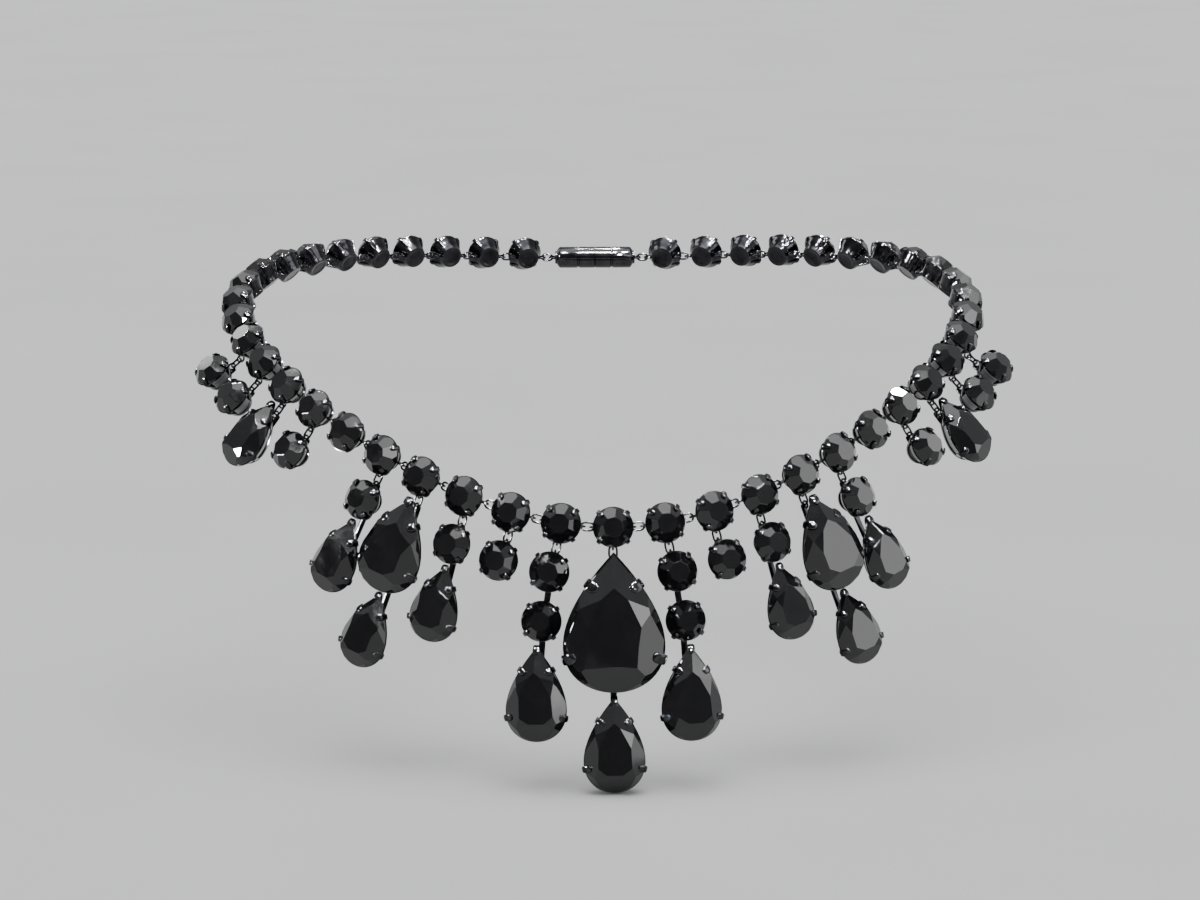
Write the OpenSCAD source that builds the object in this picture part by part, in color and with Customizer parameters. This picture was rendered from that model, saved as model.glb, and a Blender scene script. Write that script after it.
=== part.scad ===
// Collar of black faceted stones in claw settings, with drops of pear and round stones.
// The origin is the middle of the neck loop. The front faces -Y and +Z is up. Sizes are millimetres.
// A place on the loop is its angle from the front, positive towards +X.
// Each setting has a local frame: X along the chain, Y up, Z outwards, z = 0 at a round stone's girdle.

/* [Neck loop] */
// Half width of the loop, before the shoulders square it
loop_half_width = 66; // [64:0.5:68]
// Half depth of the loop, front to back
loop_half_depth = 69; // [68:0.5:71]
// Height of the nape above the throat
loop_rise = 30; // [24:1:36]
// Height that the sides gain where they ride on the shoulders
shoulder_rise = 16; // [12:0.5:20]
// How square the loop is seen from above
squareness = 0.09; // [0.04:0.01:0.1]
// Degrees that the stones tip up at the throat and the nape
tip_front = 12; // [8:1:18]
// Further degrees that the stones tip up on the shoulders
tip_shoulder = 45; // [30:1:50]
// Share by which the drops turn from square to the chain towards the plumb line
plumb_share = 0.22; // [0.1:0.01:0.3]

/* [Chain] */
// Distance between two chain stones along the loop
pitch = 9.4; // [9.3:0.05:9.5]
// Chain stones on each side of the middle one
half_count = 22; // [21:1:22]
// Wire of the links and of the eyes that they hook into
wire_d = 0.4; // [0.36:0.02:0.44]
// Distance between the two eyes that a link joins
link_span = 2.25; // [2.15:0.05:2.3]
// Clear height inside a link
link_gap = 1.0; // [0.9:0.05:1.1]
// Diameter of the barrel clasp
clasp_d = 4.6; // [4:0.1:5.5]

/* [Settings] */
// Thickness of a cup's wall
wall = 0.35; // [0.3:0.01:0.4]
// Thickness of a cup's floor
floor_t = 0.5; // [0.4:0.05:0.6]
// Thickness of the strip that carries a drop
strip_t = 0.34; // [0.26:0.02:0.36]
// Width of the strip behind a drop
strip_w = 1.2; // [1:0.1:1.6]
// Width of a round stone's claw
claw_w = 0.8; // [0.6:0.05:1]

/* [Stones] */
// Share of a round stone's width that its table takes
round_table = 0.52; // [0.45:0.01:0.6]
// Share of a pear stone's width that its table takes
pear_table_w = 0.54; // [0.5:0.01:0.6]
// Share of a pear stone's length that its table takes
pear_table_l = 0.61; // [0.55:0.01:0.65]

/* [Hidden] */
// Cuts of the stones: name, length, width, crown height, girdle height, free space above, claw angles,
// and its side claws: times claw_w, reach over the crown, and height of the tip's underside
CUTS = [
    ["round", 7.1, 7.1, 2.0, 0.0, 1.8, [45, 135, 225, 315], [1, 0.5, 0.98]],
    ["small_pear", 13.6, 9.2, 2.0, 0.0, 0.8, [0, 60, 120, 240, 300], [1.4, 0.95, 1.12]],
    ["middle_pear", 16.6, 10.8, 2.2, 0.3, 1.2, [0, 58, 120, 240, 302], [1.55, 1.1, 1.2]],
    ["medium_pear", 17.4, 12.6, 2.5, 0.9, 1.0, [0, 58, 120, 240, 302], [1.75, 1.3, 1.38]],
    ["big_pear", 24.6, 18.0, 3.2, 1.8, 1.05, [56, 122, 238, 304], [2.4, 1.9, 1.72]]
];
// Drops of one side: chain stone that carries it, degrees of splay at its top, degrees that it turns
// back for each millimetre, and the cuts of its stones from the top
DROPS = [
    [0, 0, 0, ["big_pear", "middle_pear"]],
    [1, 9, 0.5, ["round", "round", "middle_pear"]],
    [2, 2, 0, ["round"]],
    [3, -2, 0, ["round", "small_pear"]],
    [4, 0, 0, ["medium_pear", "small_pear"]],
    [5, 1, 0, ["round", "small_pear"]],
    [7, 0, 0, ["round"]],
    [8, 0, 0, ["small_pear"]],
    [9, 0, 0, ["round"]],
    [10, 0, 0, ["round"]]
];

METAL = "#2b2c31";
STONE = "#121216";

// Levels in a setting: its underside, the stone's point, the eyes, and the rim below the girdle
underside = -3.5;
floor_top = underside + floor_t;
point_z = floor_top + 0.1;
eye_z = -2.4;
rim_drop = 0.75;
girdle_half = 0.1;
// Insets of a cup from the stone's outline, at its rim and at its underside
rim_inset = 0.25;
round_base_inset = 1.25;
pear_base_inset = 1.9;
base_inset_per_rise = 0.7;
// Eyes: distance from the middle of a round cup, and radius of the wire's centre line
eye_reach = 3.4;
eye_r = 0.65;
// Half sides of a link: to the middle of its end wire and of its side wires
link_half = link_span / 2;
link_bow = (link_gap + wire_d) / 2;
// Peak of sin(t) * sin(t / 2), which is the pear outline's widest place
pear_peak = 4 / (3 * sqrt(3));
// Shift of a pear's tip and of its middle for each millimetre of inset
tip_shift = 1.49;
middle_shift = (tip_shift - 1) / 2;
// Share of a pear's length by which its table lies below its middle
table_drop = 0.068;
// Claws: height from foot to rim, the same at a pear's tip, and depth of the claw in the wall
claw_foot = 1.5;
tip_claw_foot = 0.6;
claw_sink = 0.2;
// Size of the claw at a pear's tip, as in the table of cuts
TIP_CLAW = [1, 0.5, 0.98];
// Sides of a pear's outline, of a round wire and of an eye
outline_steps = 24;
wire_steps = 48;
eye_steps = 32;

// Columns of the tables
function cut_named(name) = CUTS[search([name], CUTS)[0]];
function cut_length(cut) = cut[1];
function cut_width(cut) = cut[2];
function crown(cut) = cut[3];
function girdle(cut) = cut[4];
function space_above(cut) = cut[5];
function claw_angles(cut) = cut[6];
function claw_size(cut, t) = t == 0 ? TIP_CLAW : cut[7];
function is_round(cut) = cut_length(cut) == cut_width(cut);
function station(drop) = drop[0];
function splay(drop) = drop[1];
function curl(drop) = drop[2];
function cut_names(drop) = drop[3];
function cuts(drop) = [for (name = cut_names(drop)) cut_named(name)];

// The drops of both sides, the left ones as mirror images
ALL_DROPS = [
    for (row = DROPS)
        for (side = station(row) == 0 ? [1] : [-1, 1])
            [side * station(row), side * splay(row), side * curl(row), cut_names(row)]
];
function side_name(drop) = station(drop) < 0 ? "drop_left_" : "drop_right_";
function drop_name(drop) = station(drop) == 0 ? "drop_middle" : str(side_name(drop), abs(station(drop)));
function setting_name(drop) = str(drop_name(drop), "_setting");
function stone_name(drop, i) = str(drop_name(drop), "_stone_", i + 1);

// The neck loop and the frames along it
function unit(v) = v / norm(v);
function square_to(v, n) = unit(v - (v * n) * n);
function loop_point(u) = [
    loop_half_width * sin(u) * (1 - squareness * cos(2 * u)),
    -loop_half_depth * cos(u),
    -loop_rise / 2 * cos(u) + shoulder_rise * pow(sin(u), 2)
];
LENGTH_TO_ANGLE = [
    for (u = 0, s = 0; u <= 180; s = s + norm(loop_point(u + 1) - loop_point(u)), u = u + 1) [s, u]
];
function angle_at(k) = sign(k) * lookup(abs(k) * pitch, LENGTH_TO_ANGLE);
function along(u) = unit(loop_point(u + 0.5) - loop_point(u - 0.5));
function outward(u) =
    let (
        t = along(u),
        level = unit([t[1], -t[0], 0]),
        tip = tip_front + tip_shoulder * pow(sin(u), 4)
    )
    square_to(level * cos(tip) + [0, 0, sin(tip)], t);
// Direction in which a drop hangs: square to the chain, turned a little to the plumb line, then splayed
function hang(drop) =
    let (
        u = angle_at(station(drop)),
        n = outward(u),
        square = cross(along(u), n),
        plumb = square_to([0, 0, -1], n),
        lean = unit((1 - plumb_share) * square + plumb_share * plumb)
    )
    lean * cos(splay(drop)) + cross(n, lean) * sin(splay(drop));

// Distance from the chain stone's middle to the top of a drop's stone i, and to its middle
function top_of(list, i) =
    (i == 0 ? cut_width(cut_named("round")) / 2 : top_of(list, i - 1) + cut_length(list[i - 1]))
    + space_above(list[i]);
function middle_of(list, i) = top_of(list, i) + cut_length(list[i]) / 2;
// Place on a drop's axis, in the drop's frame, at a distance from the chain stone's middle
function axis_point(drop, s) =
    let (radius = 180 / PI / curl(drop))
    curl(drop) == 0 ? [0, -s] : -radius * [1 - cos(curl(drop) * s), sin(curl(drop) * s)];

// Puts children in the frame with origin p, X axis x and Z axis z
module in_frame(p, x, z) {
    y = cross(z, x);
    multmatrix([
        [x[0], y[0], z[0], p[0]],
        [x[1], y[1], z[1], p[1]],
        [x[2], y[2], z[2], p[2]],
        [0, 0, 0, 1]
    ])
        children();
}

module at_station(k) {
    u = angle_at(k);
    in_frame(loop_point(u), along(u), outward(u))
        children();
}

module at_drop(drop) {
    u = angle_at(station(drop));
    n = outward(u);
    in_frame(loop_point(u), cross(n, hang(drop)), n)
        children();
}

// Puts children on a drop's axis, turned as the axis is there
module on_axis(drop, s) {
    at_drop(drop)
        translate(axis_point(drop, s))
            rotate([0, 0, -curl(drop) * s])
                children();
}

// Outline of a cut, clockwise from its top, moved in by an inset
function outline_point(cut, t, inset = 0) =
    is_round(cut)
    ? (cut_width(cut) / 2 - inset) * [sin(t), cos(t)]
    : [
        (cut_width(cut) / 2 - inset) * sin(t) * abs(sin(t / 2)) / pear_peak,
        (cut_length(cut) - (tip_shift + 1) * inset) / 2 * cos(t) - middle_shift * inset
    ];
function table_point(cut, t) =
    let (p = outline_point(cut, t))
    is_round(cut)
    ? round_table * p
    : [pear_table_w * p[0], pear_table_l * p[1] - table_drop * cut_length(cut)];
function outline_normal(cut, t) =
    let (d = outline_point(cut, t + 1) - outline_point(cut, t - 1))
    atan2(d[0], -d[1]);
function ring(points, z) = [for (p = points) [p[0], p[1], z]];

// A stone: table of 8 sides, crown of 24 facets, thin girdle of 16 sides and a pointed back
module stone(cut) {
    g = girdle(cut);
    sides = 16;
    step = 360 / sides;
    table = ring([for (j = [0:7]) table_point(cut, 2 * j * step)], g + girdle_half + crown(cut));
    edge = [for (i = [0:sides - 1]) outline_point(cut, i * step)];
    upper = 8;
    lower = upper + sides;
    tip = lower + sides;
    polyhedron(
        concat(table, ring(edge, g + girdle_half), ring(edge, g - girdle_half), [[0, 0, point_z]]),
        concat(
            [[for (j = [0:7]) j]],
            [for (j = [0:7]) [j, upper + 2 * j, upper + 2 * j + 1]],
            [for (j = [0:7]) [j, upper + 2 * j + 1, (j + 1) % 8]],
            [for (j = [0:7]) [(j + 1) % 8, upper + 2 * j + 1, upper + (2 * j + 2) % sides]],
            [for (i = [0:sides - 1])
                [upper + i, lower + i, lower + (i + 1) % sides, upper + (i + 1) % sides]],
            [for (i = [0:sides - 1]) [lower + i, tip, lower + (i + 1) % sides]]
        )
    );
}

// Inset of a cup's outer wall at its underside
function base_inset(cut) =
    is_round(cut) ? round_base_inset : pear_base_inset + base_inset_per_rise * girdle(cut);
function rim_z(cut) = girdle(cut) - rim_drop;
function wall_inset(cut, z) =
    rim_inset + (base_inset(cut) - rim_inset) * (rim_z(cut) - z) / (rim_z(cut) - underside);

// Solid through rings of equal count, the first closed on top and the last closed below
module ring_solid(rings) {
    n = len(rings[0]);
    last = len(rings) - 1;
    polyhedron(
        [for (points = rings) each points],
        concat(
            [[for (i = [0:n - 1]) i]],
            [for (r = [0:last - 1]) for (i = [0:n - 1])
                [r * n + i, (r + 1) * n + i, (r + 1) * n + (i + 1) % n, r * n + (i + 1) % n]],
            [[for (i = [n - 1:-1:0]) last * n + i]]
        )
    );
}

module round_cup(cut) {
    r = cut_width(cut) / 2;
    rotate_extrude($fn = wire_steps)
        polygon([
            [0, underside],
            [r - base_inset(cut), underside],
            [r - rim_inset, rim_z(cut)],
            [r - rim_inset - wall, rim_z(cut)],
            [r - wall_inset(cut, floor_top) - wall, floor_top],
            [0, floor_top]
        ]);
}

module pear_cup(cut) {
    angles = [for (i = [0:outline_steps - 1]) i * 360 / outline_steps];
    levels = [
        [wall_inset(cut, floor_top) + wall, floor_top],
        [rim_inset + wall, rim_z(cut)],
        [rim_inset, rim_z(cut)],
        [base_inset(cut), underside]
    ];
    ring_solid([
        for (level = levels)
            ring([for (t = angles) outline_point(cut, t, level[0])], level[1])
    ]);
}

// A claw at one place of the outline: its foot is in the wall and its tip lies over the crown.
// A wall moves in faster for each millimetre of inset at a pear's tip.
module claw(cut, t) {
    p = outline_point(cut, t);
    at_tip = t == 0;
    foot = rim_drop + (at_tip ? tip_claw_foot : claw_foot);
    shift = at_tip ? tip_shift : 1;
    foot_inset = shift * wall_inset(cut, girdle(cut) - foot);
    size = claw_size(cut, t);
    reach = size[1];
    rise = size[2];
    translate([p[0], p[1], girdle(cut)])
        rotate([90, 0, outline_normal(cut, t)])
            linear_extrude(claw_w * size[0], center = true)
                polygon([
                    [-foot_inset - claw_sink, -foot],
                    [0.12 - foot_inset, -foot],
                    [0.5, -0.35],
                    [0.55, 0.35],
                    [0.2, 0.95],
                    [0.15 - reach, rise + 0.27],
                    [-reach, rise],
                    [-0.1, 0.5],
                    [0.13, 0.2],
                    [0.13, -0.3],
                    [-shift * rim_inset - claw_sink, -rim_drop - wall / 3]
                ]);
}

module cup(cut) {
    if (is_round(cut)) round_cup(cut);
    else pear_cup(cut);
    for (t = claw_angles(cut))
        claw(cut, t);
}

// A wire eye in the plane of the turned X axis and Z, at a reach from the middle
module eye(turn, reach) {
    rotate([0, 0, turn])
        translate([reach, 0, eye_z])
            rotate([90, 0, 0])
                rotate_extrude($fn = eye_steps)
                    translate([eye_r, 0])
                        circle(d = wire_d, $fn = eye_steps);
}

module chain_settings() {
    color(METAL) {
        for (k = [-half_count:half_count])
            at_station(k) {
                cup(cut_named("round"));
                eye(0, eye_reach);
                eye(180, eye_reach);
            }
        for (drop = ALL_DROPS)
            on_axis(drop, eye_reach)
                eye(-90, 0);
    }
}

module chain_stones() {
    color(STONE)
        for (k = [-half_count:half_count])
            at_station(k)
                stone(cut_named("round"));
}

// A link: two straight wires and two half rings
module link() {
    straight = 2 * (link_half - link_bow);
    for (side = [-1, 1]) {
        translate([0, side * link_bow, 0])
            rotate([0, 90, 0])
                cylinder(d = wire_d, h = straight, center = true, $fn = wire_steps);
        translate([side * straight / 2, 0, 0])
            rotate([0, 0, -90 * side])
                rotate_extrude(angle = 180, $fn = wire_steps)
                    translate([link_bow, 0])
                        circle(d = wire_d, $fn = wire_steps);
    }
}

// Centre of the eye on one side of a chain cup
function eye_point(k, side) =
    let (u = angle_at(k))
    loop_point(u) + side * eye_reach * along(u) + eye_z * outward(u);
// Ends of the clasp, one link's span past the last eyes
function clasp_direction() = unit(eye_point(-half_count, -1) - eye_point(half_count, 1));
function clasp_middle() = (eye_point(-half_count, -1) + eye_point(half_count, 1)) / 2;
function clasp_half() = norm(eye_point(-half_count, -1) - eye_point(half_count, 1)) / 2 - link_span;

// Puts a link between two eyes, facing as the loop does there
module link_between(a, b, facing) {
    x = unit(b - a);
    in_frame((a + b) / 2, x, square_to(facing, x))
        link();
}

module chain_links() {
    color(METAL) {
        for (k = [-half_count:half_count - 1])
            link_between(
                eye_point(k, 1),
                eye_point(k + 1, -1),
                outward(angle_at(k)) + outward(angle_at(k + 1))
            );
        for (side = [-1, 1])
            link_between(
                eye_point(side * half_count, side),
                clasp_middle() - side * clasp_half() * clasp_direction(),
                outward(angle_at(side * half_count))
            );
    }
}

module drop_links() {
    color(METAL)
        for (drop = ALL_DROPS)
            on_axis(drop, eye_reach + link_half)
                translate([0, 0, eye_z])
                    rotate([0, 0, 90])
                        link();
}

// Plain barrel clasp with an eye at each end
module clasp() {
    body_half = clasp_half() - eye_r + wire_d / 4;
    chamfer = clasp_d / 5;
    color(METAL)
        in_frame(clasp_middle(), clasp_direction(), square_to(outward(180), clasp_direction())) {
            rotate([0, 90, 0])
                rotate_extrude($fn = wire_steps)
                    polygon([
                        [0, -body_half],
                        [clasp_d / 2 - chamfer, -body_half],
                        [clasp_d / 2, -body_half + chamfer],
                        [clasp_d / 2, body_half - chamfer],
                        [clasp_d / 2 - chamfer, body_half],
                        [0, body_half]
                    ]);
            translate([0, 0, -eye_z]) {
                eye(0, clasp_half());
                eye(180, clasp_half());
            }
        }
}

// A strip behind a drop, between two distances along its axis
module strip(drop, from, to) {
    a = axis_point(drop, from);
    b = axis_point(drop, to);
    at_drop(drop)
        translate([a[0], a[1], underside + (floor_t - strip_t) / 2])
            rotate([0, 0, atan2(b[1] - a[1], b[0] - a[0])])
                translate([0, -strip_w / 2, 0])
                    cube([norm(b - a), strip_w, strip_t]);
}

// The soldered metal of a drop: its top eye, and for each stone a strip and a cup
module drop_setting(drop) {
    list = cuts(drop);
    top_eye = eye_reach + link_span;
    color(METAL) {
        on_axis(drop, top_eye)
            eye(-90, 0);
        for (i = [0:len(list) - 1]) {
            strip(drop, i == 0 ? top_eye - eye_r / 3 : middle_of(list, i - 1), middle_of(list, i));
            on_axis(drop, middle_of(list, i))
                cup(list[i]);
        }
    }
}

module drop_stone(drop, i) {
    list = cuts(drop);
    color(STONE)
        on_axis(drop, middle_of(list, i))
            stone(list[i]);
}

chain_settings();
chain_stones();
chain_links();
clasp();
drop_links();
for (drop = ALL_DROPS) {
    drop_setting(drop);
    for (i = [0:len(cut_names(drop)) - 1])
        drop_stone(drop, i);
}
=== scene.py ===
"""Black rhinestone collar: fine settings, claws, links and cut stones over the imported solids.

The floor, lights and camera follow the pieces. Sizes are millimetres until a mesh is made.
A setting's local frame has X along the chain, Y up and Z outwards.
"""

import functools
import math

import bmesh
import bpy
import numpy as np
from mathutils import Matrix, Vector

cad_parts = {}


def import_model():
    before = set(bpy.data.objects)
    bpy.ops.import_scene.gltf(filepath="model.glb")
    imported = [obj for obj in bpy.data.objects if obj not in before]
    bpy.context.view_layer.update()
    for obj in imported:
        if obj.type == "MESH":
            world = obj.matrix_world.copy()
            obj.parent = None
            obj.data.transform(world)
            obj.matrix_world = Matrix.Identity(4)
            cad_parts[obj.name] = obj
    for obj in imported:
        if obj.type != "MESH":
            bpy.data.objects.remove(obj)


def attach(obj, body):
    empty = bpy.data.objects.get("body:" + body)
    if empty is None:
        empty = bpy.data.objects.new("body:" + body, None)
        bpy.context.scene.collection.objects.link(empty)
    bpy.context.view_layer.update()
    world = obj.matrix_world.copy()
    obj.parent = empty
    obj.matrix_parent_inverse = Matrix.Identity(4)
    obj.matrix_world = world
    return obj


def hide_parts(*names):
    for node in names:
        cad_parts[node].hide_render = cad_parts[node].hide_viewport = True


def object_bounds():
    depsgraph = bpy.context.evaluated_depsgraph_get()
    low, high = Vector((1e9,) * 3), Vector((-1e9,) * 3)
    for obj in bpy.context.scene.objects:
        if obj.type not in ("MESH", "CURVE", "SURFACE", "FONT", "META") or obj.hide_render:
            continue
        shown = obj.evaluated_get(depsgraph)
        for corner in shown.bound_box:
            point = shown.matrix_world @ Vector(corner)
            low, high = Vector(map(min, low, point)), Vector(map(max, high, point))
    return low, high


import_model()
cad_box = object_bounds()

MM = 0.001
rng = np.random.default_rng(7)

# ---------------------------------------------------------------- sizes, as in the solids
LOOP_HALF_WIDTH, LOOP_HALF_DEPTH = 66.0, 69.0
LOOP_RISE, SHOULDER_RISE, SQUARENESS = 30.0, 16.0, 0.09
TIP_FRONT, TIP_SHOULDER, PLUMB_SHARE = 12.0, 45.0, 0.22
PITCH, HALF_COUNT = 9.4, 22
WIRE_D, LINK_SPAN, LINK_GAP, CLASP_D = 0.4, 2.25, 1.0, 4.6
WALL, FLOOR_T, STRIP_T, STRIP_W = 0.35, 0.5, 0.34, 1.2
UNDERSIDE = -3.5
FLOOR_TOP = UNDERSIDE + FLOOR_T
POINT_Z = FLOOR_TOP + 0.1
EYE_Z, EYE_REACH, EYE_R = -2.4, 3.4, 0.65
RIM_DROP, RIM_INSET = 0.75, 0.25
ROUND_BASE_INSET, PEAR_BASE_INSET, BASE_INSET_PER_RISE = 1.25, 1.9, 0.7
CLAW_FOOT, TIP_CLAW_FOOT = 1.5, 0.6
GIRDLE_HALF, GIRDLE_SIDES = 0.1, 16
ROUND_TABLE = 0.52
TIP_SHIFT = 1.49
MIDDLE_SHIFT = (TIP_SHIFT - 1) / 2
PEAR_PEAK = 4 / (3 * math.sqrt(3))
LINK_HALF, LINK_BOW = LINK_SPAN / 2, (LINK_GAP + WIRE_D) / 2
# Corners round a round cut, a pear cut and a claw, round an eye and its wire, a link's wire
# and the clasp
ROUND_STEPS, PEAR_STEPS, CLAW_SIDES = 40, 64, 12
EYE_STEPS, EYE_SIDES, LINK_SIDES, CLASP_SIDES = 20, 8, 12, 48

# length, width, crown height, girdle height, free space above, claw angles,
# claw width, claw reach over the crown
CUTS = {
    "round": (7.1, 7.1, 2.0, 0.0, 1.8, (45, 135, 225, 315), 0.95, 0.72),
    "small_pear": (13.6, 9.2, 2.0, 0.0, 0.8, (0, 60, 120, 240, 300), 1.15, 0.95),
    "middle_pear": (16.6, 10.8, 2.2, 0.3, 1.2, (0, 58, 120, 240, 302), 1.25, 1.1),
    "medium_pear": (17.4, 12.6, 2.5, 0.9, 1.0, (0, 58, 120, 240, 302), 1.4, 1.3),
    "big_pear": (24.6, 18.0, 3.2, 1.8, 1.05, (56, 122, 238, 304), 1.95, 1.9),
}
# Degrees that facets lean from the table, and the big pear's crown height for its half width
BAND_TILT, ROUND_BAND_TILT, STAR_TILT, BIG_STEEPNESS = 60.0, 61.0, 17.9, 0.356
# station, splay, curl, stones from the top
DROP_ROWS = [
    (0, 0, 0, ("big_pear", "middle_pear")),
    (1, 9, 0.5, ("round", "round", "middle_pear")),
    (2, 2, 0, ("round",)),
    (3, -2, 0, ("round", "small_pear")),
    (4, 0, 0, ("medium_pear", "small_pear")),
    (5, 1, 0, ("round", "small_pear")),
    (7, 0, 0, ("round",)),
    (8, 0, 0, ("small_pear",)),
    (9, 0, 0, ("round",)),
    (10, 0, 0, ("round",)),
]
DROPS = [
    (side * k, side * splay, side * curl, stones)
    for k, splay, curl, stones in DROP_ROWS
    for side in ((1,) if k == 0 else (-1, 1))
]


# ---------------------------------------------------------------- the loop and its frames
def unit(v):
    return v / np.linalg.norm(v)


def square_to(v, n):
    return unit(v - (v @ n) * n)


def loop_point(u):
    a = math.radians(u)
    return np.array([
        LOOP_HALF_WIDTH * math.sin(a) * (1 - SQUARENESS * math.cos(2 * a)),
        -LOOP_HALF_DEPTH * math.cos(a),
        -LOOP_RISE / 2 * math.cos(a) + SHOULDER_RISE * math.sin(a) ** 2,
    ])


chords = [np.linalg.norm(loop_point(u + 1) - loop_point(u)) for u in range(180)]
LENGTHS = np.concatenate([[0], np.cumsum(chords)])


def angle_at(k):
    return math.copysign(1, k) * float(np.interp(abs(k) * PITCH, LENGTHS, range(181)))


def along(u):
    return unit(loop_point(u + 0.5) - loop_point(u - 0.5))


def outward(u):
    t = along(u)
    level = unit(np.array([t[1], -t[0], 0]))
    tip = math.radians(TIP_FRONT + TIP_SHOULDER * math.sin(math.radians(u)) ** 4)
    return square_to(level * math.cos(tip) + np.array([0, 0, math.sin(tip)]), t)


def in_frame(p, x, z):
    m = np.eye(4)
    m[:3, 0], m[:3, 1], m[:3, 2], m[:3, 3] = x, np.cross(z, x), z, p
    return m


def moved(x, y, z=0.0):
    m = np.eye(4)
    m[:3, 3] = x, y, z
    return m


def turned(degrees):
    return np.array(Matrix.Rotation(math.radians(degrees), 4, "Z"))


def at_station(k):
    u = angle_at(k)
    return in_frame(loop_point(u), along(u), outward(u))


def at_drop(drop):
    u = angle_at(drop[0])
    n = outward(u)
    square = np.cross(along(u), n)
    plumb = square_to(np.array([0, 0, -1.0]), n)
    lean = unit((1 - PLUMB_SHARE) * square + PLUMB_SHARE * plumb)
    splay = math.radians(drop[1])
    hang = lean * math.cos(splay) + np.cross(n, lean) * math.sin(splay)
    return in_frame(loop_point(u), np.cross(n, hang), n)


def axis_point(drop, s):
    if drop[2] == 0:
        return np.array([0.0, -s])
    radius, a = math.degrees(1) / drop[2], math.radians(drop[2] * s)
    return -radius * np.array([1 - math.cos(a), math.sin(a)])


def on_axis(drop, s):
    x, y = axis_point(drop, s)
    return at_drop(drop) @ moved(x, y) @ turned(-drop[2] * s)


def top_of(stones, i):
    above = CUTS["round"][1] / 2 if i == 0 else top_of(stones, i - 1) + CUTS[stones[i - 1]][0]
    return above + CUTS[stones[i]][4]


def middle_of(stones, i):
    return top_of(stones, i) + CUTS[stones[i]][0] / 2


def drop_name(drop):
    if drop[0] == 0:
        return "drop_middle"
    return f"drop_{'left' if drop[0] < 0 else 'right'}_{abs(drop[0])}"


# ---------------------------------------------------------------- shapes
# A shape is vertices, faces, smooth shading and a wear share that also paints a highlight, the last
# two for all or for each.
def joined(shapes):
    verts, faces, smooth, wear_and_highlight, start = [], [], [], [], 0
    for v, f, s, w in shapes:
        verts.append(v)
        faces += [[i + start for i in face] for face in f]
        smooth += [s] * len(f) if isinstance(s, bool) else s
        wear_and_highlight.append(np.full(len(v), w) if np.isscalar(w) else w)
        start += len(v)
    return np.concatenate(verts), faces, smooth, np.concatenate(wear_and_highlight)


def placed(shape, m):
    v, f, s, w = shape
    return v @ m[:3, :3].T + m[:3, 3], f, s, w


def grid_faces(rings, n, closed=False):
    last = rings if closed else rings - 1
    return [
        [r * n + i, r * n + (i + 1) % n, (r + 1) % rings * n + (i + 1) % n, (r + 1) % rings * n + i]
        for r in range(last)
        for i in range(n)
    ]


def tube(path, radius, n, up, wear_and_highlight):
    """A closed round wire along a flat path, whose plane is square to up."""
    path, up = np.asarray(path, float), np.asarray(up, float)
    t = np.roll(path, -1, 0) - np.roll(path, 1, 0)
    t /= np.linalg.norm(t, axis=1)[:, None]
    side = np.cross(up, t)
    a = np.arange(n) * 2 * math.pi / n
    v = path[:, None] + radius * (
        np.cos(a)[None, :, None] * side[:, None] + np.sin(a)[None, :, None] * up
    )
    return v.reshape(-1, 3), grid_faces(len(path), n, True), True, wear_and_highlight


def outline_point(cut, t, inset=0.0):
    length, width = cut[0], cut[1]
    a = math.radians(t)
    if length == width:
        return (width / 2 - inset) * np.array([math.sin(a), math.cos(a)])
    return np.array([
        (width / 2 - inset) * math.sin(a) * abs(math.sin(a / 2)) / PEAR_PEAK,
        (length - (TIP_SHIFT + 1) * inset) / 2 * math.cos(a) - MIDDLE_SHIFT * inset,
    ])


def base_inset(cut):
    if cut[0] == cut[1]:
        return ROUND_BASE_INSET
    return PEAR_BASE_INSET + BASE_INSET_PER_RISE * cut[3]


def rim_z(cut):
    return cut[3] - RIM_DROP


def wall_inset(cut, z):
    return RIM_INSET + (base_inset(cut) - RIM_INSET) * (rim_z(cut) - z) / (rim_z(cut) - UNDERSIDE)


def outline_steps(cut):
    """Angles round a cut's outline, evenly spaced along it."""
    t = np.linspace(0, 360, 721)
    p = np.array([outline_point(cut, x) for x in t])
    s = np.concatenate([[0], np.cumsum(np.linalg.norm(np.diff(p, axis=0), axis=1))])
    n = ROUND_STEPS if cut[0] == cut[1] else PEAR_STEPS
    return np.interp(np.arange(n) * s[-1] / n, s, t)


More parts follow.
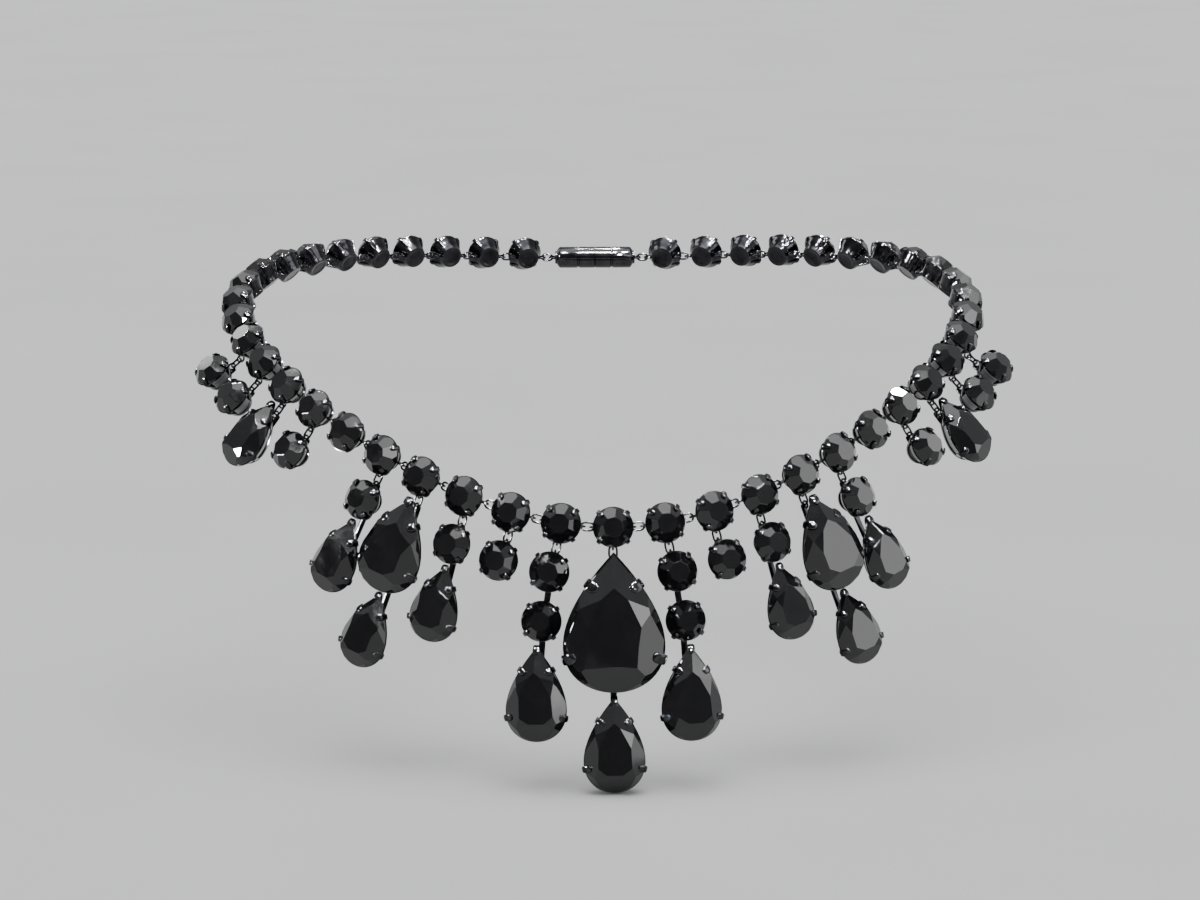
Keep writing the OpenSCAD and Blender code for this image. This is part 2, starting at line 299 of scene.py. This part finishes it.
# ---------------------------------------------------------------- cups, claws, eyes, links
def cup(cut):
    """A stamped cup: seat inside, rolled rim, grooved gallery outside, ribbed floor below."""
    rim, base, g = rim_z(cut), base_inset(cut), cut[3]
    floor_in = wall_inset(cut, FLOOR_TOP) + WALL
    # levels between which the gallery is grooved
    low, high = UNDERSIDE + 0.62, rim - 0.75
    groove = [
        (wall_inset(cut, low), low, 0.2),
        (wall_inset(cut, low) + 0.10, low + 0.10, 0.0),
        (wall_inset(cut, high) + 0.10, high - 0.10, 0.0),
        (wall_inset(cut, high), high, 0.2),
    ]
    # inset from the stone's outline, height, wear and painted highlight: from the underside round
    # the rim to the floor
    profile = [
        (base + 1.0, UNDERSIDE + 0.10, 0.0),
        (base + 0.80, UNDERSIDE + 0.10, 0.0),
        (base + 0.62, UNDERSIDE + 0.01, 0.1),
        (base + 0.16, UNDERSIDE, 0.3),
        (base + 0.02, UNDERSIDE + 0.05, 0.6),
        (base - 0.03, UNDERSIDE + 0.16, 0.6),
        *groove,
        (RIM_INSET + 0.02, rim, 0.1),
        (0.02, g - 0.46, 0.2),
        (-0.09, g - 0.34, 0.6),
        (-0.13, g - 0.22, 0.9),
        (-0.09, g - 0.11, 1.0),
        (-0.02, g - 0.10, 0.7),
        (0.08, g - 0.24, 0.1),
        (0.30, g - 0.50, 0.0),
        (RIM_INSET + WALL, rim, 0.0),
        (floor_in, FLOOR_TOP + 0.08, 0.0),
        (floor_in + 0.12, FLOOR_TOP, 0.0),
    ]
    steps = outline_steps(cut)
    v = np.array([[*outline_point(cut, t, inset), z] for inset, z, _ in profile for t in steps])
    wear_and_highlight = np.repeat([w for _, _, w in profile], len(steps))
    n, rings = len(steps), len(profile)
    faces = grid_faces(rings, n)
    faces.append(list(range(n))[::-1])
    faces.append([(rings - 1) * n + i for i in range(n)])
    return v, faces, True, wear_and_highlight


def through(points):
    """A smooth line through rows of control values, with one more row between each two."""
    p = np.array(points, float)
    p = np.concatenate([[2 * p[0] - p[1]], p, [2 * p[-1] - p[-2]]])
    rows = []
    for i in range(1, len(p) - 2):
        a, b, c, d = p[i - 1], p[i], p[i + 1], p[i + 2]
        for t in (0.0, 0.5):
            rows.append(0.5 * (2 * b + (c - a) * t + (2 * a - 5 * b + 4 * c - d) * t * t
                               + (3 * b - a - 3 * c + d) * t ** 3))
    rows.append(p[-2])
    return np.array(rows)


def toward(azimuth):
    a = math.radians(azimuth)
    return np.array([math.sin(a), math.cos(a)])


@functools.lru_cache
def crown_planes(cut, turn=0.0):
    """Facets of the crown: azimuth clockwise from the top, distances at table and girdle."""
    length, width, crown = cut[0], cut[1], cut[2]
    ring = np.array([outline_point(cut, t) for t in np.arange(0, 360, 1.0)])

    def run(tilt):
        return crown / math.tan(math.radians(tilt))

    def reach(azimuth):
        return float((ring @ toward(azimuth)).max())

    def flush(azimuth, d_table):
        """A facet from the table to the outermost point of the girdle."""
        return azimuth, d_table, reach(azimuth)

    def band(azimuth, tilt=BAND_TILT):
        """A steep facet along the girdle."""
        return azimuth, reach(azimuth) - run(tilt), reach(azimuth)

    def shallow(azimuth, d_table, tilt):
        """A facet that leans less than one to the girdle would."""
        return azimuth, d_table, d_table + run(tilt)

    if length == width:
        flat = ROUND_TABLE * width / 2 * math.cos(math.radians(22.5))
        mains = [flush(22.5 + 45 * j, flat) for j in range(8)]
        return mains + [band(45 * j, ROUND_BAND_TILT) for j in range(8)]
    half_l, half_w = length / 2, width / 2
    big = cut == CUTS["big_pear"]
    flank = math.degrees(math.atan2(length * PEAR_PEAK, width))
    upper = flank - 6.5
    upper_at = 0.496 * half_l * math.cos(math.radians(upper))
    side_at, star_at = 0.533 * half_w, 0.437 * half_w
    star_tilt = STAR_TILT * crown / half_w / BIG_STEEPNESS
    # the foot, then for each side its upper facet, side, star, lower star and girdle bands
    rows = [flush(180 + turn * 0.4, (0.626 if big else 0.62) * half_l)]
    for sign in (-1, 1):
        rows.append(flush(sign * upper + turn, upper_at))
        if big:
            rows.append(shallow(sign * 94 + 4, side_at, 31))
            rows.append(shallow(sign * 65 + turn, star_at, star_tilt))
            rows.append(shallow(sign * 144 + turn, 0.508 * half_l, 4.5))
        else:
            rows.append(flush(sign * 88 + turn, side_at))
            rows.append(shallow(sign * 62 + turn, star_at, star_tilt))
            rows.append(shallow(sign * 144 + turn, 0.60 * half_l, 17.0))
        rows += [band(sign * a) for a in (flank, 74, 96, 119, 141, 162)]
    return rows


def crown_height(cut, p):
    """Height of the crown above the girdle, at a point of the stone's plan."""
    rises = [
        (d_girdle - p @ toward(a)) / (d_girdle - d_table)
        for a, d_table, d_girdle in crown_planes(cut)
    ]
    return cut[2] * min(1.0, max(0.0, min(rises)))


def claw(cut, t, jitter):
    """A prong that rises from the wall, swells at the girdle and lies on the crown."""
    width, reach = cut[6] / 2, cut[7]
    # half thickness, more on a claw wider than a round stone's
    thick = 0.17 + 0.09 * (cut[6] - CUTS["round"][6])
    at_tip = t == 0
    g = cut[3]
    foot = RIM_DROP + (TIP_CLAW_FOOT if at_tip else CLAW_FOOT)
    foot_in = (TIP_SHIFT if at_tip else 1) * wall_inset(cut, g - foot)
    p = outline_point(cut, t)
    q = outline_point(cut, t + 1) - outline_point(cut, t - 1)
    facing = math.atan2(q[0], -q[1])
    way = np.array([math.cos(facing), math.sin(facing)])

    def resting(o, lift, share):
        """A control point that lies on the crown, at a distance inwards from the girdle."""
        h = crown_height(cut, p - o * way)
        m = (crown_height(cut, p - (o + 0.1) * way) - crown_height(cut, p - (o - 0.1) * way)) / 0.2
        off = lift / math.hypot(1, m)
        return (-o + m * off, GIRDLE_HALF + h + off, lift, width * share)

    # distance outwards, height over the girdle, half thickness, half width: from foot to tip
    rows = through([
        (-foot_in - 0.05, -foot, 0.08, width * 0.50),
        (0.5 * (0.26 - foot_in), -0.5 * (foot + 0.35), 0.15, width * 0.74),
        (0.24, -0.36, 0.19, width * 0.86),
        (0.12 + thick, 0.06, thick * 1.1, width * 0.95),
        resting(0.20, thick * 1.15, 1.0),
        resting(0.45 * reach, thick * 1.1, 1.02),
        resting(0.72 * reach, thick * 0.95, 0.90),
        resting(0.91 * reach, thick * 0.70, 0.66),
        resting(reach, thick * 0.30, 0.28),
    ])
    a = (np.arange(CLAW_SIDES) + 0.5) * 2 * math.pi / CLAW_SIDES
    ca, sa = np.cos(a), np.sin(a)
    # a section squarer than an ellipse
    ca, sa = np.sign(ca) * np.abs(ca) ** 0.55, np.sign(sa) * np.abs(sa) ** 0.75
    path = rows[:, :2]
    d = np.gradient(path, axis=0)
    d /= np.linalg.norm(d, axis=1)[:, None]
    normal = np.stack([-d[:, 1], d[:, 0]], 1)
    verts = []
    for (o, h), nn, (half_t, half_w) in zip(path, normal, rows[:, 2:]):
        for c, s in zip(ca, sa):
            verts.append((o + nn[0] * half_t * c, half_w * s, g + h + nn[1] * half_t * c))
    n, rings = len(a), len(rows)
    # paler toward the tip: partly wear, partly a painted highlight on the claw's tip
    wear_and_highlight = np.repeat(np.clip((np.arange(rings) / (rings - 1) - 0.4) * 1.9, 0, 1), n)
    faces = [f[::-1] for f in grid_faces(rings, n)]
    faces.append(list(range(n)))
    faces.append([(rings - 1) * n + i for i in range(n)][::-1])
    m = moved(*p) @ turned(math.degrees(facing) + jitter)
    return placed((np.array(verts), faces, True, wear_and_highlight), m)


def setting_cup(name):
    cut = CUTS[name]
    return [cup(cut)] + [claw(cut, t, rng.normal(0, 2.0)) for t in cut[5]]


def eye(turn, reach):
    a = np.arange(EYE_STEPS) * 2 * math.pi / EYE_STEPS
    path = np.stack([EYE_R * np.cos(a), np.zeros(EYE_STEPS), EYE_R * np.sin(a)], 1)
    ring = tube(path, WIRE_D / 2, EYE_SIDES, up=(0, 1, 0), wear_and_highlight=0.3)
    return placed(ring, turned(turn) @ moved(reach, 0, EYE_Z))


def solder(x, y, z, size):
    """A flowed drop of solder, flatter than it is wide."""
    bm = bmesh.new()
    bmesh.ops.create_icosphere(bm, subdivisions=1, radius=1)
    v = np.array([list(p.co) for p in bm.verts]) * np.array(size) + np.array([x, y, z])
    faces = [[p.index for p in f.verts] for f in bm.faces]
    bm.free()
    return v, faces, True, 0.15


def link():
    straight = LINK_HALF - LINK_BOW
    bend = np.radians(np.linspace(-90, 90, 13))
    path = [(straight + LINK_BOW * math.cos(t), LINK_BOW * math.sin(t), 0) for t in bend]
    path += [(-x, -y, z) for x, y, z in path]
    return tube(path, WIRE_D / 2, LINK_SIDES, up=(0, 0, 1), wear_and_highlight=0.4)


def strip(drop, start, stop):
    """A flat wire with round edges and ends, between two distances along a drop's axis."""
    a, b = axis_point(drop, start), axis_point(drop, stop)
    length, half, t = float(np.linalg.norm(b - a)), STRIP_W / 2, STRIP_T / 2
    angle = [math.radians(x) for x in range(-80, 81, 20)]
    edge = [(half - t + t * math.cos(x), t * math.sin(x)) for x in angle]
    section = edge + [(-y, -z) for y, z in edge]
    # distance from an end, share of the width
    ends = [(0.0, 0.45), (0.06, 0.68), (0.20, 0.89), (0.45, 1.0)]
    rows = ends + [(length - x, share) for x, share in ends[::-1]]
    v = np.array([[x, y * share, z] for x, share in rows for y, z in section])
    n, rings = len(section), len(rows)
    faces = grid_faces(rings, n) + [list(range(n))[::-1], list(range((rings - 1) * n, rings * n))]
    m = at_drop(drop) @ moved(a[0], a[1], UNDERSIDE + FLOOR_T / 2)
    m = m @ turned(math.degrees(math.atan2(b[1] - a[1], b[0] - a[0])))
    return placed((v, faces, True, 0.2), m)


# ---------------------------------------------------------------- cut stones
# Unevenness of a facet's normal, width of a softened edge, distance at which corners merge,
# and number of differently uneven round stones
FACET_ERROR, EDGE_SOFTNESS, MERGE, ROUND_KINDS = 0.008, 0.045, 0.004, 5
# Least angle in degrees and least length of an edge that is softened
BEVEL_ANGLE, BEVEL_LENGTH = 9, 0.25


def cut_stone(name, turn=0.0):
    """A stone: its outline, cut down by the planes of its facets, with softly polished edges."""
    cut = CUTS[name]
    g, crown = cut[3], cut[2]
    z_girdle, z_table, z_low = g + GIRDLE_HALF, g + GIRDLE_HALF + crown, g - GIRDLE_HALF
    bm = bmesh.new()
    steps = outline_steps(cut)
    rings = [
        [bm.verts.new((*outline_point(cut, t), z)) for t in steps] for z in (POINT_Z - 0.5, z_table)
    ]
    n = len(steps)
    for i in range(n):
        j = (i + 1) % n
        bm.faces.new((rings[0][j], rings[0][i], rings[1][i], rings[1][j]))
    bm.faces.new(rings[0])
    bm.faces.new(rings[1][::-1])
    planes = []
    for azimuth, d_table, d_girdle in crown_planes(cut, turn):
        x, y = toward(azimuth)
        no = Vector((x * crown, y * crown, d_girdle - d_table)).normalized()
        no += Vector(rng.normal(0, FACET_ERROR, 3))
        planes.append((Vector((x * d_table, y * d_table, z_table)), no))
    edge = [outline_point(cut, i * 360 / GIRDLE_SIDES) for i in range(GIRDLE_SIDES)]
    for i in range(GIRDLE_SIDES):
        p, q = Vector((*edge[i], z_low)), Vector((*edge[(i + 1) % GIRDLE_SIDES], z_low))
        no = (q - p).cross(Vector((0, 0, POINT_Z)) - p).normalized()
        if no.z > 0:
            no = -no
        planes.append((p, no))
    for co, no in planes:
        cutting = bmesh.ops.bisect_plane(
            bm, geom=bm.verts[:] + bm.edges[:] + bm.faces[:], dist=1e-5,
            plane_co=co, plane_no=no, clear_outer=True,
        )
        edges = [e for e in cutting["geom_cut"] if isinstance(e, bmesh.types.BMEdge)]
        if len(edges) > 2:
            bmesh.ops.contextual_create(bm, geom=edges)
    bmesh.ops.remove_doubles(bm, verts=bm.verts[:], dist=MERGE)
    bmesh.ops.dissolve_degenerate(bm, edges=bm.edges[:], dist=MERGE)
    bmesh.ops.recalc_face_normals(bm, faces=bm.faces[:])
    # crown edges long and sharp enough to bevel, and none of the girdle's upright faces
    soft = [
        e for e in bm.edges
        if len(e.link_faces) == 2
        and e.calc_face_angle(0) > math.radians(BEVEL_ANGLE)
        and e.calc_length() > BEVEL_LENGTH
        and min(abs(f.normal.z) for f in e.link_faces) > 0.15
    ]
    bmesh.ops.bevel(
        bm, geom=soft, offset=EDGE_SOFTNESS, segments=2, profile=0.5,
        affect="EDGES", clamp_overlap=True,
    )
    bm.verts.index_update()
    v = np.array([list(p.co) for p in bm.verts])
    faces = [[p.index for p in f.verts] for f in bm.faces]
    bm.free()
    return v, faces, False, 0.0


# ---------------------------------------------------------------- materials
# Place in the noise and colour of two tones, the paler colour where metal is worn and a highlight
# is painted, and the colour where glass is dusty
PLATING_TONES = [(0.3, (0.013, 0.013, 0.016)), (0.7, (0.038, 0.037, 0.041))]
WORN_AND_HIGHLIGHT_COLOUR = (0.08, 0.08, 0.084, 1)
GLASS_TONES = [(0.3, (0.0035, 0.0035, 0.0042)), (0.75, (0.0085, 0.0085, 0.0098))]
DUST_COLOUR = (0.035, 0.035, 0.036, 1)
PAPER_TONES = [(0.3, (0.69, 0.69, 0.68)), (0.7, (0.73, 0.73, 0.72))]
GLASS_IOR = 1.52


def node_material(name):
    material = bpy.data.materials.new(name)
    material.use_nodes = True
    tree = material.node_tree
    return material, tree.nodes, tree.links, tree.nodes["Principled BSDF"]


def noise(nodes, links, scale, detail, roughness=0.5):
    place = nodes.new("ShaderNodeTexCoord")
    tex = nodes.new("ShaderNodeTexNoise")
    tex.inputs["Scale"].default_value = scale
    tex.inputs["Detail"].default_value = detail
    tex.inputs["Roughness"].default_value = roughness
    links.new(place.outputs["Object"], tex.inputs["Vector"])
    return tex.outputs["Fac"]


def ramp(nodes, links, value, stops):
    node = nodes.new("ShaderNodeValToRGB")
    for i, (place, colour) in enumerate(stops):
        e = node.color_ramp.elements[i] if i < 2 else node.color_ramp.elements.new(place)
        e.position, e.color = place, (*colour, 1)
    links.new(value, node.inputs["Fac"])
    return node.outputs["Color"]


def scaled(nodes, links, value, low, high, start, stop):
    """The value's stretch from start to stop, taken to low to high."""
    node = nodes.new("ShaderNodeMapRange")
    for key, x in zip(("From Min", "From Max", "To Min", "To Max"), (start, stop, low, high)):
        node.inputs[key].default_value = x
    links.new(value, node.inputs["Value"])
    return node.outputs["Result"]


def mixed(nodes, links, kind, fac, a, b):
    """A mix of a and b, each a socket or a constant."""
    node = nodes.new("ShaderNodeMix")
    node.data_type = kind
    keys = [key + ("_Color" if kind == "RGBA" else "_Float") for key in ("A", "B", "Result")]
    sockets = {s.identifier: s for s in list(node.inputs) + list(node.outputs)}
    links.new(fac, sockets["Factor_Float"])
    for key, x in zip(keys, (a, b)):
        if hasattr(x, "links"):
            links.new(x, sockets[key])
        else:
            sockets[key].default_value = x
    return sockets[keys[2]]


def bump(nodes, links, shader, height, strength, distance):
    node = nodes.new("ShaderNodeBump")
    node.inputs["Strength"].default_value = strength
    node.inputs["Distance"].default_value = distance
    links.new(height, node.inputs["Height"])
    links.new(node.outputs["Normal"], shader.inputs["Normal"])


def gunmetal():
    """Dark plating in two tones, paler and smoother where it is worn; the same paler colour is a
    painted highlight on claw tips, rims and edges.
    """
    material, nodes, links, shader = node_material("gunmetal_plating")
    wear_and_highlight = nodes.new("ShaderNodeAttribute")
    wear_and_highlight.attribute_name = "wear_and_highlight"
    patches = noise(nodes, links, scale=420, detail=4)
    fine = noise(nodes, links, scale=2600, detail=3, roughness=0.6)
    plating = ramp(nodes, links, patches, PLATING_TONES)
    spots = scaled(nodes, links, fine, low=0.25, high=1.0, start=0.35, stop=0.62)
    rub_and_highlight = nodes.new("ShaderNodeMath")
    rub_and_highlight.operation = "MULTIPLY"
    links.new(wear_and_highlight.outputs["Fac"], rub_and_highlight.inputs[0])
    links.new(spots, rub_and_highlight.inputs[1])
    # paler plating at tips, rims and edges: partly wear, partly a painted highlight
    colour = mixed(nodes, links, "RGBA", rub_and_highlight.outputs[0], plating, WORN_AND_HIGHLIGHT_COLOUR)
    links.new(colour, shader.inputs["Base Color"])
    rough = scaled(nodes, links, patches, low=0.08, high=0.17, start=0.3, stop=0.7)
    links.new(mixed(nodes, links, "FLOAT", rub_and_highlight.outputs[0], rough, 0.06), shader.inputs["Roughness"])
    shader.inputs["Metallic"].default_value = 1.0
    bump(nodes, links, shader, fine, strength=0.25, distance=0.00004)
    return material


def black_glass():
    """Near black glass with faint smears and specks of dust."""
    material, nodes, links, shader = node_material("black_cut_glass")
    smears = noise(nodes, links, scale=240, detail=4, roughness=0.6)
    dust = noise(nodes, links, scale=5200, detail=2)
    tint = ramp(nodes, links, smears, GLASS_TONES)
    specks = scaled(nodes, links, dust, low=0.0, high=1.0, start=0.70, stop=0.80)
    colour = mixed(nodes, links, "RGBA", specks, tint, DUST_COLOUR)
    links.new(colour, shader.inputs["Base Color"])
    rough = scaled(nodes, links, smears, low=0.025, high=0.10, start=0.35, stop=0.75)
    links.new(mixed(nodes, links, "FLOAT", specks, rough, 0.22), shader.inputs["Roughness"])
    shader.inputs["IOR"].default_value = GLASS_IOR
    bump(nodes, links, shader, smears, strength=0.05, distance=0.00006)
    return material


METAL, STONE = gunmetal(), black_glass()
# Degrees between faces at which an edge of smooth metal stays sharp
SHARP_ANGLE = 42


def piece(node, shapes, material):
    v, faces, smooth, wear_and_highlight = joined(shapes)
    mesh = bpy.data.meshes.new(node + "_look")
    mesh.from_pydata((v * MM).tolist(), [], faces)
    mesh.polygons.foreach_set("use_smooth", smooth)
    mesh.attributes.new("wear_and_highlight", "FLOAT", "POINT").data.foreach_set("value", wear_and_highlight.astype(np.float32))
    if all(smooth):
        mesh.set_sharp_from_angle(angle=math.radians(SHARP_ANGLE))
    mesh.materials.append(material)
    obj = bpy.data.objects.new(node + "_look", mesh)
    bpy.context.scene.collection.objects.link(obj)
    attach(obj, "root")
    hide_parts(node)


# ---------------------------------------------------------------- the pieces
def eye_point(k, side):
    u = angle_at(k)
    return loop_point(u) + side * EYE_REACH * along(u) + EYE_Z * outward(u)


stations = range(-HALF_COUNT, HALF_COUNT + 1)
round_cut = CUTS["round"]
chain = []
for k in stations:
    parts = setting_cup("round") + [eye(0, EYE_REACH), eye(180, EYE_REACH)]
    wall_at = round_cut[1] / 2 - wall_inset(round_cut, EYE_Z)
    # solder where the foot of each eye's wire meets the wall
    parts += [
        solder(side * (wall_at + 0.02), 0, EYE_Z + z, (0.22, 0.34, 0.22))
        for side in (-1, 1)
        for z in (-0.45, 0.45)
    ]
    chain.append(placed(joined(parts), at_station(k)))
for drop in DROPS:
    chain.append(placed(eye(-90, 0), on_axis(drop, EYE_REACH)))
piece("chain_settings", chain, METAL)

round_stones = [cut_stone("round") for _ in range(ROUND_KINDS)]
piece(
    "chain_stones",
    [
        placed(round_stones[k % ROUND_KINDS], at_station(k) @ turned(rng.uniform(0, 45)))
        for k in stations
    ],
    STONE,
)


def link_between(a, b, facing):
    x = unit(b - a)
    return placed(link(), in_frame((a + b) / 2, x, square_to(facing, x)))


clasp_a, clasp_b = eye_point(HALF_COUNT, 1), eye_point(-HALF_COUNT, -1)
clasp_way, clasp_mid = unit(clasp_b - clasp_a), (clasp_a + clasp_b) / 2
clasp_half = float(np.linalg.norm(clasp_b - clasp_a)) / 2 - LINK_SPAN
links = [
    link_between(
        eye_point(k, 1),
        eye_point(k + 1, -1),
        outward(angle_at(k)) + outward(angle_at(k + 1)),
    )
    for k in range(-HALF_COUNT, HALF_COUNT)
]
links += [
    link_between(
        eye_point(side * HALF_COUNT, side),
        clasp_mid - side * clasp_half * clasp_way,
        outward(angle_at(side * HALF_COUNT)),
    )
    for side in (-1, 1)
]
piece("chain_links", links, METAL)
piece(
    "drop_links",
    [
        placed(link(), on_axis(drop, EYE_REACH + LINK_HALF) @ moved(0, 0, EYE_Z) @ turned(90))
        for drop in DROPS
    ],
    METAL,
)


def clasp():
    """A plain barrel: two turned halves that screw together, with beaded ends."""
    half, r = clasp_half - EYE_R + WIRE_D / 4, CLASP_D / 2
    # radius, distance from the middle
    side = [
        (0.0, half), (0.55 * r, half), (0.62 * r, half - 0.10), (0.62 * r, half - 0.35),
        (0.70 * r, half - 0.50), (0.93 * r, half - 0.85), (r, half - 1.15), (r, 0.45 * half),
        (0.93 * r, 0.45 * half - 0.12), (0.93 * r, 0.45 * half - 0.42), (r, 0.45 * half - 0.55),
        (r, 0.14), (0.94 * r, 0.06),
    ]
    profile = side + [(a, -x) for a, x in side[::-1]]
    a = np.arange(CLASP_SIDES) * 2 * math.pi / CLASP_SIDES
    v = np.array([[x, rr * math.cos(t), rr * math.sin(t)] for rr, x in profile for t in a])
    # the barrel's widest rings are paler: partly wear, partly a painted highlight
    wear_and_highlight = np.repeat([0.5 if rr == r else 0.1 for rr, _ in profile], CLASP_SIDES)
    return v, grid_faces(len(profile), CLASP_SIDES), True, wear_and_highlight


clasp_frame = in_frame(clasp_mid, clasp_way, square_to(outward(180), clasp_way))
ends = [placed(eye(turn, clasp_half), moved(0, 0, -EYE_Z)) for turn in (0, 180)]
piece("clasp", [placed(joined([clasp(), *ends]), clasp_frame)], METAL)

for drop in DROPS:
    stones = drop[3]
    top_eye = EYE_REACH + LINK_SPAN
    shapes = [placed(eye(-90, 0), on_axis(drop, top_eye))]
    shapes.append(placed(solder(0, 0, EYE_Z - EYE_R, (0.42, 0.42, 0.20)), on_axis(drop, top_eye)))
    for i, name in enumerate(stones):
        start = top_eye - EYE_R / 3 if i == 0 else middle_of(stones, i - 1)
        shapes.append(strip(drop, start, middle_of(stones, i)))
        shapes.append(placed(joined(setting_cup(name)), on_axis(drop, middle_of(stones, i))))
    piece(drop_name(drop) + "_setting", shapes, METAL)
    for i, name in enumerate(stones):
        m = on_axis(drop, middle_of(stones, i))
        if name == "round":
            shape = placed(round_stones[i], m @ turned(rng.uniform(0, 45)))
        else:
            shape = placed(cut_stone(name, 0.0 if name == "big_pear" else rng.uniform(-5, 5)), m)
        piece(f"{drop_name(drop)}_stone_{i + 1}", [shape], STONE)


# ---------------------------------------------------------------- floor, light and camera
# Metres, watts and degrees. Azimuths count from the front to the right.
FLOOR_GAP, FLOOR_SIZE = 0.0004, 12.0
HORIZON_TONES = [(0.0, (0.50, 0.51, 0.515)), (1.0, (0.72, 0.73, 0.74))]
OVERHEAD, DIM = (4.0, 4.03, 4.06, 1), (0.20, 0.20, 0.21, 1)
# The dim sides: direction, and nearness to it at which the dimness starts and is full
DIM_SIDES = [((-0.14, -0.975, 0.17), 0.55, 0.94), ((-0.99, -0.09, -0.09), 0.58, 0.85)]
# Cards: azimuth, elevation, distance, size, power
CARDS = {
    "right_side": (74, 22, 2.4, (1.5, 1.5), 28),
    "right_low": (58, -8, 0.26, (0.16, 0.046), 0.042),
    "right_front": (36, 23, 1.0, (0.2, 0.2), 0.9),
    "back_left": (-131, 30, 0.9, (0.15, 0.5), 1.7),
}
GLINTS = {
    "glint_left": (-40, 60), "glint_top": (10, 66), "glint_right": (45, 62),
    "glint_low_left": (-75, 12), "glint_front": (18, 37), "glint_back": (170, 62),
}
GLINT_DISTANCE, GLINT_SIZE, GLINT_POWER = 1.0, (0.08, 0.08), 40
CAMERA_WAY, CAMERA_DISTANCE, CAMERA_LENS = (-1.53, 9.98), 0.65, 98.6
CAMERA_SHIFT = (-0.0024, -0.0609)


def floor():
    bm = bmesh.new()
    bmesh.ops.create_grid(bm, x_segments=8, y_segments=8, size=FLOOR_SIZE)
    mesh = bpy.data.meshes.new("floor")
    bm.to_mesh(mesh)
    bm.free()
    obj = bpy.data.objects.new("floor", mesh)
    obj.location.z = cad_box[0][2] - FLOOR_GAP
    bpy.context.scene.collection.objects.link(obj)
    material, nodes, links, shader = node_material("floor_paper")
    colour = ramp(nodes, links, noise(nodes, links, scale=9, detail=3), PAPER_TONES)
    links.new(colour, shader.inputs["Base Color"])
    shader.inputs["Roughness"].default_value = 1.0
    shader.inputs["Specular IOR Level"].default_value = 0.0
    mesh.materials.append(material)


def direction(azimuth, elevation):
    """The way to a light or to the camera."""
    a, e = math.radians(azimuth), math.radians(elevation)
    return Vector((math.sin(a) * math.cos(e), -math.cos(a) * math.cos(e), math.sin(e)))


def card(name, azimuth, elevation, distance, size, power):
    """A lit card that faces the necklace and shows only in its gloss."""
    place = direction(azimuth, elevation) * distance
    light = bpy.data.lights.new(name, "AREA")
    light.shape, light.size, light.size_y, light.energy = "RECTANGLE", size[0], size[1], power
    obj = bpy.data.objects.new(name, light)
    obj.location = place
    obj.rotation_euler = place.to_track_quat("Z", "Y").to_euler()
    obj.visible_camera = False
    obj.visible_diffuse = False
    bpy.context.scene.collection.objects.link(obj)


def world():
    """A soft studio: pale at the horizon, bright overhead, dim in front and on the left."""
    scene = bpy.context.scene
    scene.world = bpy.data.worlds.new("studio")
    scene.world.use_nodes = True
    nodes, links = scene.world.node_tree.nodes, scene.world.node_tree.links
    back = nodes["Background"]
    way = nodes.new("ShaderNodeTexCoord")
    axes = nodes.new("ShaderNodeSeparateXYZ")
    links.new(way.outputs["Generated"], axes.inputs[0])
    rise = axes.outputs["Z"]
    height = scaled(nodes, links, rise, low=0.0, high=1.0, start=0.02, stop=0.75)
    pale = ramp(nodes, links, height, HORIZON_TONES)
    overhead = scaled(nodes, links, rise, low=0.0, high=1.0, start=0.86, stop=0.94)
    lit = mixed(nodes, links, "RGBA", overhead, pale, OVERHEAD)
    for side, start, full in DIM_SIDES:
        near = nodes.new("ShaderNodeVectorMath")
        near.operation = "DOT_PRODUCT"
        near.inputs[1].default_value = side
        links.new(way.outputs["Generated"], near.inputs[0])
        nearness = near.outputs["Value"]
        share = scaled(nodes, links, nearness, low=0.0, high=1.0, start=start, stop=full)
        lit = mixed(nodes, links, "RGBA", share, lit, DIM)
    links.new(lit, back.inputs["Color"])
    back.inputs["Strength"].default_value = 1.0


def camera():
    data = bpy.data.cameras.new("camera")
    data.sensor_width, data.lens = 36.0, CAMERA_LENS
    data.shift_x, data.shift_y = CAMERA_SHIFT
    data.clip_start, data.clip_end = 0.01, 50
    obj = bpy.data.objects.new("camera", data)
    way = direction(*CAMERA_WAY)
    obj.location = way * CAMERA_DISTANCE
    obj.rotation_euler = way.to_track_quat("Z", "Y").to_euler()
    bpy.context.scene.collection.objects.link(obj)
    bpy.context.scene.camera = obj


floor()
world()
for name, row in CARDS.items():
    card(name, *row)
for name, way in GLINTS.items():
    card(name, *way, GLINT_DISTANCE, GLINT_SIZE, GLINT_POWER)
camera()
